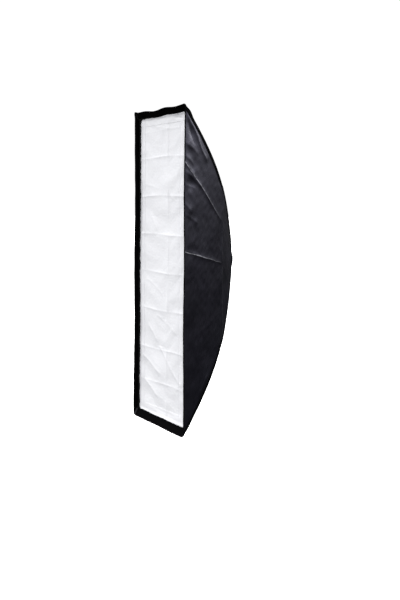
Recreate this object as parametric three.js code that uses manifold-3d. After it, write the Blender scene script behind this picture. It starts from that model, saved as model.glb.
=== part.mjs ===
// Strip softbox for a studio flash: a bayonet insert that stays with the light, a speed ring that
// turns on it, four bent rods in tilted sockets, a fabric shell stretched over the rods, a recessed
// front diffuser that pulls off, and an inner baffle.
// Millimetres, +Z up. The origin is the centre of the bayonet's mating plane, the light is on +Y
// and the diffuser faces -Y.
import * as THREE from "three";
import { mergeVertices } from "three/addons/utils/BufferGeometryUtils.js";
import Module from "manifold-3d";

const wasm = await Module();
wasm.setup();

// Driving dimensions.
const frontWidth = 350;
const frontHeight = 1600;
const depth = 537;
const throatRadius = 43;
const ringRadius = 71;
const ringThickness = 14.4;
const rodRadius = 3.5;
const fabric = 1.3;
const gap = 0.3;
const recess = 30;
const hemDepth = 4.3;
const hemWidth = 4.5;
const baffleDepth = 230;

// The ridge is the seam of a side panel and the top panel: x is half the width there and z is half
// the height, and the other three seams mirror it.
const rearCorner = new THREE.Vector3(77, -4, 80);
const rearPull = new THREE.Vector3(188, -203, 370);
const frontPull = new THREE.Vector3(191, -254, 518);
const frontCorner = new THREE.Vector3(frontWidth / 2, -depth, frontHeight / 2);
const ridge = new THREE.CubicBezierCurve3(rearCorner, rearPull, frontPull, frontCorner);
const ridgeSteps = 16;

// A rod runs inside the ridge, from its socket on the ring to its pocket behind the diffuser.
const rodInset = new THREE.Vector3(12, 0, 18);
const rodRear = new THREE.Vector3(63, -30, 56);
const rodFront = new THREE.Vector3(166, 49 - depth, 733);

const left = -1;
const right = 1;
const corners = [
  { name: "top_left", x: left, z: 1 },
  { name: "top_right", x: right, z: 1 },
  { name: "bottom_left", x: left, z: -1 },
  { name: "bottom_right", x: right, z: -1 },
];

function finish(color, roughness, metalness) {
  return new THREE.MeshStandardMaterial({ color, roughness, metalness });
}

const blackNylon = finish(0x1f1e24, 0.55, 0);
const blackTape = finish(0x141418, 0.9, 0);
const whiteNylon = finish(0xe6e7ec, 0.8, 0);
const castMetal = finish(0xa6a8aa, 0.45, 1);
const steel = finish(0xb9bcbe, 0.3, 1);
const blackSteel = finish(0x26262a, 0.4, 0.9);
const rodFinish = finish(0x2b2b2e, 0.35, 0);
const blackPlastic = finish(0x18181a, 0.5, 0);

const softbox = new THREE.Group();

function add(name, geometry, material) {
  const mesh = new THREE.Mesh(geometry, material);
  mesh.name = name;
  softbox.add(mesh);
  return mesh;
}

// A closed geometry as a solid that can be cut and joined.
function solidOf(geometry) {
  const bare = geometry.clone();
  bare.deleteAttribute("normal");
  bare.deleteAttribute("uv");
  const merged = mergeVertices(bare, 1e-4);
  const vertProperties = new Float32Array(merged.attributes.position.array);
  const triVerts = new Uint32Array(merged.index.array);
  return new wasm.Manifold(new wasm.Mesh({ numProp: 3, vertProperties, triVerts }));
}

function geometryOf(solid) {
  const mesh = solid.getMesh();
  const geometry = new THREE.BufferGeometry();
  geometry.setAttribute("position", new THREE.BufferAttribute(mesh.vertProperties, 3));
  geometry.setIndex(new THREE.BufferAttribute(mesh.triVerts, 1));
  geometry.computeVertexNormals();
  return geometry;
}

// A solid turned about the Y axis from an outline of [radius, y] points.
function turned(outline, segments) {
  const points = outline.map(([radius, y]) => new THREE.Vector2(radius, y));
  return new THREE.LatheGeometry(points, segments);
}

function tubeOutline(inner, outer, low, high) {
  return [
    [inner, low],
    [outer, low],
    [outer, high],
    [inner, high],
    [inner, low],
  ];
}

function rodOutline(radius, low, high) {
  return [
    [0, low],
    [radius, low],
    [radius, high],
    [0, high],
  ];
}

// A cup whose floor is at low and whose mouth is at high.
function cupOutline(inner, outer, low, high, floor) {
  return [
    [0, low],
    [outer, low],
    [outer, high],
    [inner, high],
    [inner, low + floor],
    [0, low + floor],
  ];
}

// Turns a geometry whose axis is Y to lie along a direction, with its zero at a place.
function aimed(geometry, place, direction) {
  const turn = new THREE.Quaternion().setFromUnitVectors(new THREE.Vector3(0, 1, 0), direction);
  return geometry.applyQuaternion(turn).translate(place.x, place.y, place.z);
}

function mirrored(point, corner) {
  return new THREE.Vector3(point.x * corner.x, point.y, point.z * corner.z);
}

// Points along the ridge between two depths behind the front rim.
function ridgePoints(fromDepth, toDepth) {
  const samples = ridge.getPoints(600);
  const picked = [];
  for (let step = 0; step <= ridgeSteps; step += 1) {
    const share = step / ridgeSteps;
    const y = -depth + fromDepth + (toDepth - fromDepth) * share;
    const after = samples.findIndex((sample) => sample.y <= y);
    const before = Math.max(after - 1, 0);
    const span = samples[before].y - samples[after].y || 1;
    picked.push(samples[before].clone().lerp(samples[after], (samples[before].y - y) / span));
  }
  return picked;
}

function ridgeAt(depthBehindRim) {
  return ridgePoints(depthBehindRim, depthBehindRim + 1)[0];
}

// Extrudes an outline of [y, z] points evenly to both sides along X.
function acrossX(points, reach) {
  const shape = new THREE.Shape(points.map(([y, z]) => new THREE.Vector2(y, z)));
  const geometry = new THREE.ExtrudeGeometry(shape, { depth: 2 * reach, bevelEnabled: false });
  const axes = new THREE.Matrix4().makeBasis(
    new THREE.Vector3(0, 1, 0),
    new THREE.Vector3(0, 0, 1),
    new THREE.Vector3(1, 0, 0),
  );
  return geometry.applyMatrix4(axes).translate(-reach, 0, 0);
}

// Extrudes an outline of [x, y] points evenly to both sides along Z.
function acrossZ(points, reach) {
  const shape = new THREE.Shape(points.map(([x, y]) => new THREE.Vector2(x, y)));
  const geometry = new THREE.ExtrudeGeometry(shape, { depth: 2 * reach, bevelEnabled: false });
  return geometry.translate(0, 0, -reach);
}

// A strip of fabric that follows a side of the shell: it lies from outer to inner behind the
// shell's surface and stops short of the neighbouring panels by the end inset.
function sideStrip(side, stretch, outer, inner, endInset) {
  const points = ridgePoints(stretch[0], stretch[1]);
  const skin = points.map((point) => [side * (point.x - outer), point.y]);
  const lining = points.map((point) => [side * (point.x - inner), point.y]).reverse();
  const upper = points.map((point) => [point.y, point.z - endInset]);
  const lower = points.map((point) => [point.y, endInset - point.z]).reverse();
  const slab = solidOf(acrossZ([...skin, ...lining], frontHeight));
  return geometryOf(slab.intersect(solidOf(acrossX([...upper, ...lower], frontWidth))));
}

// The same for the top (side 1) and the bottom (side -1).
function capStrip(side, stretch, outer, inner, endInset) {
  const points = ridgePoints(stretch[0], stretch[1]);
  const skin = points.map((point) => [point.y, side * (point.z - outer)]);
  const lining = points.map((point) => [point.y, side * (point.z - inner)]).reverse();
  const near = points.map((point) => [point.x - endInset, point.y]);
  const far = points.map((point) => [endInset - point.x, point.y]).reverse();
  const slab = solidOf(acrossX([...skin, ...lining], frontWidth));
  return geometryOf(slab.intersect(solidOf(acrossZ([...near, ...far], frontHeight))));
}

// A flat rectangular frame or sheet that faces -Y, from a depth behind the front rim.
function flatSheet(halfWidth, halfHeight, depthBehindRim, thickness, opening) {
  const shape = new THREE.Shape();
  shape.moveTo(-halfWidth, -halfHeight);
  shape.lineTo(halfWidth, -halfHeight);
  shape.lineTo(halfWidth, halfHeight);
  shape.lineTo(-halfWidth, halfHeight);
  shape.closePath();
  if (opening) shape.holes.push(opening);
  const geometry = new THREE.ExtrudeGeometry(shape, {
    depth: thickness,
    bevelEnabled: false,
    curveSegments: 18,
  });
  return geometry.rotateX(Math.PI / 2).translate(0, -depth + depthBehindRim + thickness, 0);
}

function rectangularOpening(halfWidth, halfHeight) {
  const opening = new THREE.Path();
  opening.moveTo(-halfWidth, -halfHeight);
  opening.lineTo(-halfWidth, halfHeight);
  opening.lineTo(halfWidth, halfHeight);
  opening.lineTo(halfWidth, -halfHeight);
  opening.closePath();
  return opening;
}

function roundOpening(radius) {
  const opening = new THREE.Path();
  opening.absarc(0, 0, radius, 0, 2 * Math.PI, true);
  return opening;
}

// Bayonet insert: a flange with a raised mating band and three hooks that turn into the light.
const flangeRadius = 65;
const flangeFront = -4.5;
const flangeRear = -1.2;
const bandInner = 52.5;
const bandOuter = 61.5;
const hookThickness = 3;
const hookReach = 51;
const hookTop = 10.5;
const lipBottom = 8;
const hookAngle = (50 * Math.PI) / 180;
const hookCount = 3;
const hookOverlap = 1;
const sectorRadius = 100;
const sectorDepth = 40;
const ringSegments = 48;

// A pie slice about the Y axis that is wider and deeper than the hooks it cuts out.
function sector(start) {
  const slice = new THREE.Shape();
  slice.moveTo(0, 0);
  slice.lineTo(sectorRadius * Math.cos(start), sectorRadius * Math.sin(start));
  const end = start + hookAngle;
  slice.lineTo(sectorRadius * Math.cos(end), sectorRadius * Math.sin(end));
  slice.closePath();
  const geometry = new THREE.ExtrudeGeometry(slice, { depth: sectorDepth, bevelEnabled: false });
  return geometry.rotateX(Math.PI / 2).translate(0, sectorDepth / 2, 0);
}

function bayonetHook(index) {
  const start = (index * 2 * Math.PI) / hookCount - hookAngle / 2;
  const wallOutline = tubeOutline(
    throatRadius,
    throatRadius + hookThickness,
    flangeFront + hookOverlap,
    hookTop,
  );
  const lipOutline = tubeOutline(throatRadius + hookOverlap, hookReach, lipBottom, hookTop);
  const wall = solidOf(turned(wallOutline, ringSegments));
  const lip = solidOf(turned(lipOutline, ringSegments));
  return wall.add(lip).intersect(solidOf(sector(start)));
}

function bayonetInsert() {
  const flange = [
    [throatRadius, flangeFront],
    [flangeRadius, flangeFront],
    [flangeRadius, flangeRear],
    [bandOuter, flangeRear],
    [bandOuter, 0],
    [bandInner, 0],
    [bandInner, flangeRear],
    [throatRadius, flangeRear],
    [throatRadius, flangeFront],
  ];
  let insert = solidOf(turned(flange, ringSegments));
  for (let index = 0; index < hookCount; index += 1) insert = insert.add(bayonetHook(index));
  return geometryOf(insert);
}

// Speed ring: a casting with a rebate that carries the insert's flange, and four socket lugs.
const ringRear = -1.6;
const ringFront = ringRear - ringThickness;
const ringBead = 1.5;
const rebateRadius = flangeRadius + 0.5;
const rebateFloor = flangeFront - 0.4;
const ringBore = 57;
const cutterReach = 60;
const cutterRadius = 200;
const socketBore = 4;
const socketRadius = 6;
const socketLength = 34;
const socketLead = 4;
const socketWall = 2.5;
const socketSegments = 20;
const lugRadius = 9;
const lugLength = 28;
const lugSink = 3;
const screwCircle = 68;
const screwHole = 1.8;
const screwDepth = 10;
const screwSegments = 12;
const rodLead = rodRear.clone().sub(rearPull.clone().sub(rodInset)).normalize();

// The rod's own direction where it leaves its socket, pointing back towards the ring.
function socketDirection(corner) {
  return mirrored(rodLead, corner);
}

function socketFloor(corner) {
  const place = mirrored(rodRear, corner);
  return place.addScaledVector(socketDirection(corner), socketLength - socketLead);
}

const retainers = [
  { name: "right", angle: 0 },
  { name: "left", angle: Math.PI },
  { name: "bottom", angle: -Math.PI / 2 },
];
const lockAngle = Math.PI / 2;

function screwPlace(angle) {
  return [screwCircle * Math.cos(angle), screwCircle * Math.sin(angle)];
}

function ringBlank() {
  const body = [
    [ringBore, ringFront],
    [ringRadius - ringBead, ringFront],
    [ringRadius, ringFront + ringBead],
    [ringRadius, ringRear - ringBead / 2],
    [ringRadius - ringBead / 2, ringRear],
    [ringBore, ringRear],
    [ringBore, ringFront],
  ];
  return solidOf(turned(body, ringSegments));
}

function socketLug(corner) {
  const outward = socketDirection(corner).negate();
  const foot = socketFloor(corner).addScaledVector(outward, -lugSink);
  const lug = turned(rodOutline(lugRadius, 0, lugLength), socketSegments);
  return solidOf(aimed(lug, foot, outward));
}

function socketHole(corner) {
  const outward = socketDirection(corner).negate();
  const bore = turned(rodOutline(socketRadius + gap, -gap, 2 * socketLength), socketSegments);
  return solidOf(aimed(bore, socketFloor(corner), outward));
}

function screwHoleAt(angle) {
  const [x, z] = screwPlace(angle);
  const hole = turned(rodOutline(screwHole, ringRear - screwDepth, cutterReach), screwSegments);
  return solidOf(hole.translate(x, 0, z));
}

function speedRing() {
  const screwAngles = [...retainers.map((retainer) => retainer.angle), lockAngle];
  const cuts = [
    turned(rodOutline(ringBore, ringFront - cutterReach, cutterReach), ringSegments),
    turned(rodOutline(rebateRadius, rebateFloor, cutterReach), ringSegments),
    turned(rodOutline(cutterRadius, ringRear, cutterReach), socketSegments),
  ].map(solidOf);
  cuts.push(...corners.map(socketHole), ...screwAngles.map(screwHoleAt));
  let ring = ringBlank();
  for (const corner of corners) ring = ring.add(socketLug(corner));
  for (const cut of cuts) ring = ring.subtract(cut);
  return geometryOf(ring);
}

// A retaining washer laps over the flange's edge, and its screw holds it to the ring.
const washerRadius = 4.2;
const washerHole = 1.9;
const washerLow = -0.9;
const washerHigh = -0.1;
const screwRadius = 1.5;
const screwTip = ringRear - screwDepth + 1;
const headRadius = 2.9;
const headHigh = 2.1;
const headBevel = 0.7;

function washer() {
  return turned(tubeOutline(washerHole, washerRadius, washerLow, washerHigh), 20);
}

function screw() {
  const outline = [
    [0, screwTip],
    [screwRadius, screwTip],
    [screwRadius, washerHigh + gap],
    [headRadius, washerHigh + gap],
    [headRadius, headHigh - headBevel],
    [headRadius - headBevel, headHigh],
    [0, headHigh],
  ];
  return turned(outline, 16);
}

// The lock knob's screw presses its own washer on the flange, which stops the ring from turning.
// The knob is ribbed for the fingers.
const knobRadius = 6;
const knobLow = 1.2;
const knobHigh = 9.5;
const knobBevel = 1;
const collarRadius = 3.2;
const ribCount = 12;
const ribDepth = 0.6;

// Presses ribs into the rim of a solid turned about the Y axis.
function ribbed(geometry) {
  const place = geometry.attributes.position;
  for (let index = 0; index < place.count; index += 1) {
    const x = place.getX(index);
    const z = place.getZ(index);
    const radius = Math.hypot(x, z);
    const groove = (ribDepth / 2) * (1 - Math.cos(ribCount * Math.atan2(z, x)));
    const shrink = radius > groove ? 1 - groove / radius : 1;
    place.setXYZ(index, x * shrink, place.getY(index), z * shrink);
  }
  return geometry;
}

function lockKnob() {
  const stem = [
    [0, screwTip],
    [screwRadius, screwTip],
    [screwRadius, washerHigh + gap],
    [collarRadius, washerHigh + gap],
    [collarRadius, knobHigh - knobBevel],
    [0, knobHigh - knobBevel],
  ];
  const crown = [
    [0, knobLow],
    [knobRadius, knobLow],
    [knobRadius, knobHigh - knobBevel],
    [knobRadius - knobBevel, knobHigh],
    [0, knobHigh],
  ];
  const grip = ribbed(turned(crown, 2 * ribCount));
  return geometryOf(solidOf(turned(stem, socketSegments)).add(solidOf(grip)));
}

// Rods, with a moulded cap on each front end and a sewn pocket that holds the cap.
const capRadius = 4.7;
const capBore = 3.8;
const capLength = 22;
const capFloor = 2;
const capLead = 2.4;
const pocketBore = 5.1;
const pocketRadius = 7;
const pocketLength = 38;
const pocketFloor = 1.6;
const pocketLead = capLead + capFloor;
const tailClearance = 3;

function rodCurve(corner) {
  const start = mirrored(rodRear, corner);
  const tailLength = socketLength - socketLead - tailClearance;
  const tail = start.clone().addScaledVector(socketDirection(corner), tailLength);
  const rearHandle = mirrored(rearPull.clone().sub(rodInset), corner);
  const frontHandle = mirrored(frontPull.clone().sub(rodInset), corner);
  const end = mirrored(rodFront, corner);
  const path = new THREE.CurvePath();
  path.add(new THREE.LineCurve3(tail, start));
  path.add(new THREE.CubicBezierCurve3(start, rearHandle, frontHandle, end));
  return path;
}

function bentRod(corner) {
  const section = new THREE.Shape();
  section.absarc(0, 0, rodRadius, 0, 2 * Math.PI);
  const extrudePath = rodCurve(corner);
  return new THREE.ExtrudeGeometry(section, { extrudePath, steps: 22, curveSegments: 5 });
}

function rodFrontDirection(corner) {
  return mirrored(rodFront.clone().sub(frontPull.clone().sub(rodInset)).normalize(), corner);
}

// A cup that holds the rod's front end, with its floor a little past the rod.
function frontCup(corner, inner, outer, length, floor, pastEnd) {
  const backwards = rodFrontDirection(corner).negate();
  const place = mirrored(rodFront, corner).addScaledVector(backwards, -pastEnd);
  return aimed(turned(cupOutline(inner, outer, 0, length, floor), 14), place, backwards);
}

// Inner baffle and the elastic straps that tie its corners to the rods.
const baffleHalfWidth = 145;
const baffleHalfHeight = 420;
const baffleThickness = 1.5;
const strapWidth = 14;
const strapThickness = 1;
const strapGap = 3;
const strapEndInset = { x: 19, z: 28 };

function strap(corner) {
  const anchor = ridgeAt(baffleDepth);
  const from = new THREE.Vector3(baffleHalfWidth + strapGap, anchor.y, baffleHalfHeight + strapGap);
  const to = new THREE.Vector3(anchor.x - strapEndInset.x, anchor.y, anchor.z - strapEndInset.z);
  const length = from.distanceTo(to);
  const band = new THREE.BoxGeometry(strapWidth, strapThickness, length);
  const along = mirrored(to.clone().sub(from).normalize(), corner);
  const turn = new THREE.Quaternion().setFromUnitVectors(new THREE.Vector3(0, 0, 1), along);
  const middle = mirrored(from.lerp(to, 0.5), corner);
  return band.applyQuaternion(turn).translate(middle.x, middle.y, middle.z);
}

// Shell. The top and bottom are measured straight down, so their fabric takes more height than
// thickness where they slope.
const capDrop = 2.4;
const panelRear = depth + rearCorner.y - 0.5;
const panelStretch = [hemDepth + gap, panelRear];
const sideInset = capDrop + 0.4;
add("shell_top", capStrip(1, panelStretch, 0, capDrop, 0), blackNylon);
add("shell_bottom", capStrip(-1, panelStretch, 0, capDrop, 0), blackNylon);
add("shell_right", sideStrip(right, panelStretch, 0, fabric, sideInset), blackNylon);
add("shell_left", sideStrip(left, panelStretch, 0, fabric, sideInset), blackNylon);

// Loop tape sewn inside the shell just behind the diffuser.
const tapeStretch = [recess + 4, recess + 24];
const tapeThickness = 1.4;
const tapeDrop = 2.4;
const tapeTop = capDrop + gap;
const tapeSide = fabric + gap;
const capTapeInset = 4;
const sideTapeInset = 8;
for (const [name, side] of [["right", right], ["left", left]]) {
  const strip = sideStrip(side, tapeStretch, tapeSide, tapeSide + tapeThickness, sideTapeInset);
  add("loop_tape_" + name, strip, blackTape);
}
for (const [name, side] of [["top", 1], ["bottom", -1]]) {
  const strip = capStrip(side, tapeStretch, tapeTop, tapeTop + tapeDrop, capTapeInset);
  add("loop_tape_" + name, strip, blackTape);
}

const hemOpening = rectangularOpening(frontWidth / 2 - hemWidth, frontHeight / 2 - hemWidth);
add("front_hem", flatSheet(frontWidth / 2, frontHeight / 2, 0, hemDepth, hemOpening), blackTape);

const yokeThickness = 1.5;
const yokeClearance = 0.6;
const yokeDepth = depth + rearCorner.y - yokeThickness - yokeClearance;
const yokeEdge = ridgeAt(yokeDepth + yokeThickness);
const yokeHalfWidth = yokeEdge.x - fabric - gap;
const yokeHalfHeight = yokeEdge.z - capDrop - gap;
const yokeOpening = roundOpening(ringRadius + yokeClearance);
const yoke = flatSheet(yokeHalfWidth, yokeHalfHeight, yokeDepth, yokeThickness, yokeOpening);
add("rear_yoke", yoke, blackNylon);

// Diffuser: a white sheet inside a black border of hook tape.
const sheetThickness = 1.5;
const sheetClearance = 0.6;
const borderWidth = 14.5;
const borderHeight = 5;
const borderHalfWidth = frontWidth / 2 - fabric - sheetClearance;
const borderHalfHeight = ridgeAt(recess + sheetThickness).z - capDrop - 2 * sheetClearance;
const clothHalfWidth = borderHalfWidth - borderWidth;
const clothHalfHeight = borderHalfHeight - borderHeight;
const clothGap = rectangularOpening(clothHalfWidth + gap, clothHalfHeight + gap);
const border = flatSheet(borderHalfWidth, borderHalfHeight, recess, sheetThickness, clothGap);
add("diffuser_border", border, blackTape);
const cloth = flatSheet(clothHalfWidth, clothHalfHeight, recess, sheetThickness);
add("diffuser_cloth", cloth, whiteNylon);

// Inner baffle.
const baffle = flatSheet(baffleHalfWidth, baffleHalfHeight, baffleDepth, baffleThickness);
add("inner_baffle", baffle, whiteNylon);

// Ring, insert, rods and their ends.
add("bayonet_insert", bayonetInsert(), steel);
add("speed_ring", speedRing(), castMetal);

for (const corner of corners) {
  const outward = socketDirection(corner).negate();
  const socket = turned(cupOutline(socketBore, socketRadius, 0, socketLength, socketWall), 16);
  add("rod_socket_" + corner.name, aimed(socket, socketFloor(corner), outward), steel);
  add("rod_" + corner.name, bentRod(corner), rodFinish);
  const cap = frontCup(corner, capBore, capRadius, capLength, capFloor, capLead);
  add("rod_cap_" + corner.name, cap, blackPlastic);
  const pocket = frontCup(
    corner,
    pocketBore,
    pocketRadius,
    pocketLength,
    pocketFloor,
    pocketLead,
  );
  add("rod_pocket_" + corner.name, pocket, blackNylon);
  add("baffle_strap_" + corner.name, strap(corner), blackTape);
}

for (const retainer of retainers) {
  const [x, z] = screwPlace(retainer.angle);
  add("ring_washer_" + retainer.name, washer(), steel).position.set(x, 0, z);
  add("ring_screw_" + retainer.name, screw(), blackSteel).position.set(x, 0, z);
}

const [lockX, lockZ] = screwPlace(lockAngle);
add("lock_washer", washer(), steel).position.set(lockX, 0, lockZ);
add("lock_knob", lockKnob(), blackPlastic).position.set(lockX, 0, lockZ);

export default softbox;
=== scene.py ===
import math
from dataclasses import dataclass

import bpy
import numpy as np
from mathutils import Matrix, Vector


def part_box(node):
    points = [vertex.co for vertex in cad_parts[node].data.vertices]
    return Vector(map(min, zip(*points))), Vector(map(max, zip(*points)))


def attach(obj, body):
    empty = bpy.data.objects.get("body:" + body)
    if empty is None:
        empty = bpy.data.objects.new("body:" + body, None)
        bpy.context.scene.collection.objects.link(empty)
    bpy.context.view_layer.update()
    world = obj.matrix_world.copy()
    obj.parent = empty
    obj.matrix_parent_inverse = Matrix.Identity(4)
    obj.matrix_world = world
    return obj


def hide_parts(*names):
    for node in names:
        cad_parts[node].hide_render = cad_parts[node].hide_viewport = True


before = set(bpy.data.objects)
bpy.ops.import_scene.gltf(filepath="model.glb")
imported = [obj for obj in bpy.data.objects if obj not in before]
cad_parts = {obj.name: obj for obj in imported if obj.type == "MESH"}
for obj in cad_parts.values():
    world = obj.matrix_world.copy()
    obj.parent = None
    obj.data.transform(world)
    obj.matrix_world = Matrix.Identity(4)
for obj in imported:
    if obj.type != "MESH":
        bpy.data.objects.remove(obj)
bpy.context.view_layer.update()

scene = bpy.context.scene

MM = 0.001
CORNERS = {"top_left": (-1, 1), "top_right": (1, 1), "bottom_left": (-1, -1), "bottom_right": (1, -1)}
BACKWARDS = np.array([0, 1.0, 0])
ROLL_STEPS = 12
WAVE_COUNT = 7
rim_low, rim_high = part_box("front_hem")
RIM_Y = rim_low.y


def vertices_of(mesh):
    """A mesh's vertices as an array of rows."""
    points = np.zeros(len(mesh.vertices) * 3, np.float32)
    mesh.vertices.foreach_get("co", points)
    return points.reshape(-1, 3).astype(float)


# ---- small helpers


def unit(vectors):
    return vectors / np.linalg.norm(vectors, axis=-1, keepdims=True)


def smoothstep(low, high, value):
    t = np.clip((value - low) / (high - low), 0, 1)
    return t * t * (3 - 2 * t)


def waves(u, v, seed, length):
    """Soft rolling noise of about unit height: sines of seeded directions and lengths."""
    random = np.random.default_rng(seed)
    total = np.zeros(np.broadcast(u, v).shape)
    for _ in range(WAVE_COUNT):
        angle = random.uniform(0, math.pi)
        size = length * random.uniform(0.6, 1.6)
        phase = random.uniform(0, math.tau)
        along = (u * math.cos(angle) + v * math.sin(angle)) * math.tau / size
        total = total + np.sin(along + phase)
    return total / math.sqrt(WAVE_COUNT)


def creases(u, v, folds):
    """Folds, each from one place to another: a ridge that dies away to both sides and at its ends.
    Heights and widths are in millimetres."""
    total = 0
    for start, end, height, width in folds:
        height, width = height * MM, width * MM
        run = np.array(end) - np.array(start)
        length = np.hypot(*run)
        along = ((u - start[0]) * run[0] + (v - start[1]) * run[1]) / length
        off = ((v - start[1]) * run[0] - (u - start[0]) * run[1]) / length
        fade = min(0.03, 0.3 * length)
        ends = smoothstep(0, fade, along) * smoothstep(0, fade, length - along)
        wander = 0.25 * width * np.sin(along * 37 + height * 900)
        total = total + height * ends * np.exp(-np.abs(off + wander) / width)
    return total


def inset(x, z, half_x, half_z):
    """How far a place is inside the edge of a rectangle."""
    return np.minimum(half_x - np.abs(x), half_z - np.abs(z))


def spanned(origin, *legs):
    """Points reached from an origin along vectors: each leg is a vector and how far to go."""
    for vector, reach in legs:
        origin = origin + vector * reach[..., None]
    return origin


def linked(name, data):
    made = bpy.data.objects.new(name, data)
    scene.collection.objects.link(made)
    return made


def add_mesh(name, points, faces):
    mesh = bpy.data.meshes.new(name)
    mesh.from_pydata([tuple(point) for point in points], [], faces)
    mesh.polygons.foreach_set("use_smooth", [True] * len(mesh.polygons))
    mesh.validate()
    return linked(name, mesh)


def grid_piece(name, points, flip=False, wrap_columns=False, wrap_rows=False):
    """A piece from an array of points, rows by columns by 3."""
    rows, columns = points.shape[:2]
    faces = []
    for row in range(rows if wrap_rows else rows - 1):
        here = row * columns
        below = (row + 1) % rows * columns
        for column in range(columns if wrap_columns else columns - 1):
            right = (column + 1) % columns
            faces.append((here + column, here + right, below + right, below + column))
    if flip:
        faces = [face[::-1] for face in faces]
    return add_mesh(name, points.reshape(-1, 3), faces)


def turn(count):
    """Angles round a circle."""
    return np.linspace(0, math.tau, count, endpoint=False)


def rolled(name, path, normals, out, side):
    """A roll of cloth along a closed path, with an oval section of half breadths out and side."""
    ahead = unit(np.roll(path, -1, axis=0) - np.roll(path, 1, axis=0))
    normals = unit(normals * [1, 0, 1])
    normals = unit(normals - ahead * np.sum(normals * ahead, axis=1, keepdims=True))
    angles = turn(ROLL_STEPS)
    lift = normals[:, None], out * np.cos(angles)[None]
    swing = np.cross(ahead, normals)[:, None], side * np.sin(angles)[None]
    points = spanned(path[:, None], lift, swing)
    return grid_piece(name, points, wrap_columns=True, wrap_rows=True)


def dress(piece, slot, *materials, body="speed_ring", node=None, thick=0, offset=-1, inner_slot=0):
    """Gives a piece its materials, body and thickness, and hides the CAD node that it stands for. The
    slot is not used."""
    for material in materials:
        piece.data.materials.append(material)
    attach(piece, body)
    if node:
        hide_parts(node)
    if thick:
        solid = piece.modifiers.new("thickness", "SOLIDIFY")
        solid.thickness = thick
        solid.offset = offset
        solid.material_offset = inner_slot
    return piece


STITCH_PITCH = 5 * MM
STITCH_HALF = (1.7 * MM, 0.42 * MM, 0.3 * MM)
STITCH_CORNERS = 6
STITCH_FACES = ((0, 2, 4), (0, 4, 3), (0, 3, 5), (0, 5, 2), (1, 4, 2), (1, 3, 4), (1, 5, 3), (1, 2, 5))


def stitch_row(path, normals):
    """The six corners of each thread dash along a path."""
    steps = np.linalg.norm(np.diff(path, axis=0), axis=1)
    travelled = np.append(0, np.cumsum(steps))
    middles = np.arange(STITCH_PITCH / 2, travelled[-1], STITCH_PITCH)

    def at(values, shift):
        return np.stack([np.interp(middles + shift, travelled, v) for v in values.T], axis=1)

    half = STITCH_HALF[0]
    ahead = unit(at(path, half) - at(path, -half))
    out = unit(at(normals, 0))
    side = np.cross(ahead, out)
    place = at(path, 0)
    reach = [vector * size for vector, size in zip((ahead, side, out), STITCH_HALF)]
    corners = [place + sign * vector for vector in reach for sign in (1, -1)]
    return np.stack(corners, axis=1).reshape(-1, 3)


def front_row(path, lift):
    """A row of stitches that lies on the front of a cloth."""
    return path - BACKWARDS * lift, np.tile(-BACKWARDS, (len(path), 1))


def stitches(name, rows, slot, material, body="speed_ring"):
    """Rows of thread dashes as one piece. A row is a path and its normals."""
    points = np.concatenate([stitch_row(*row) for row in rows])
    faces = []
    for first in range(0, len(points), STITCH_CORNERS):
        faces += [tuple(first + corner for corner in face) for face in STITCH_FACES]
    return dress(add_mesh(name, points, faces), slot, material, body=body)


# ---- node trees


class Nodes:
    """Adds nodes to a node tree."""

    def __init__(self, tree):
        self.tree = tree

    def join(self, output, target):
        self.tree.links.new(output, target)

    def node(self, kind, inputs=None, **settings):
        """A node with its settings. Each input is joined to an output or set to a value."""
        made = self.tree.nodes.new("ShaderNode" + kind)
        for key, value in settings.items():
            setattr(made, key, value)
        for key, value in (inputs or {}).items():
            if isinstance(value, bpy.types.NodeSocket):
                self.join(value, made.inputs[key])
            else:
                made.inputs[key].default_value = value
        return made

    def math(self, operation, first, second):
        return self.node("Math", {0: first, 1: second}, operation=operation).outputs[0]

    def spread(self, value, low, high, start=0, end=1, shape="LINEAR"):
        """Maps a value from start..end to low..high."""
        ends = {"Value": value, "From Min": start, "From Max": end, "To Min": low, "To Max": high}
        return self.node("MapRange", ends, interpolation_type=shape).outputs["Result"]


# ---- camera, light and floor

VIEW_YAW = math.radians(39.23)
VIEW_ROLL = math.radians(0.3)
CAMERA_PLACE = Vector((1.552, -2.104, 0.303))
SENSOR = 36
LENS = 26.16
SHIFT = -0.155
FLOOR_Z = -1.36
FLOOR_REACH = 60
WHITE = (1, 1, 1, 1)
BACKDROP_STRENGTH = 1.05
# The sky's strength: its first and last value, and the heights or depths on the unit sphere
# where it reaches them.
SKY_BY_HEIGHT = (0.015, 1.75, -0.25, 0.65)
SKY_BY_DEPTH = (1, 0.28, 0.72, 0.98)


def make_camera():
    data = bpy.data.cameras.new("camera")
    data.sensor_width = SENSOR
    data.lens = LENS
    data.shift_y = SHIFT
    data.clip_end = 100
    camera = linked("camera", data)
    camera.location = CAMERA_PLACE
    level = Matrix.Rotation(VIEW_YAW, 3, "Z") @ Matrix.Rotation(math.radians(90), 3, "X")
    camera.rotation_euler = (level @ Matrix.Rotation(VIEW_ROLL, 3, "Z")).to_euler()
    scene.camera = camera


def lamp(kind, name, towards, power):
    data = bpy.data.lights.new(name, kind)
    data.energy = power
    light = linked(name, data)
    light.rotation_euler = Vector(towards).to_track_quat("-Z", "Y").to_euler()
    return light


def area_light(name, place, target, size, power):
    light = lamp("AREA", name, Vector(target) - Vector(place), power)
    light.location = place
    light.data.shape = "RECTANGLE"
    light.data.size, light.data.size_y = size


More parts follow.
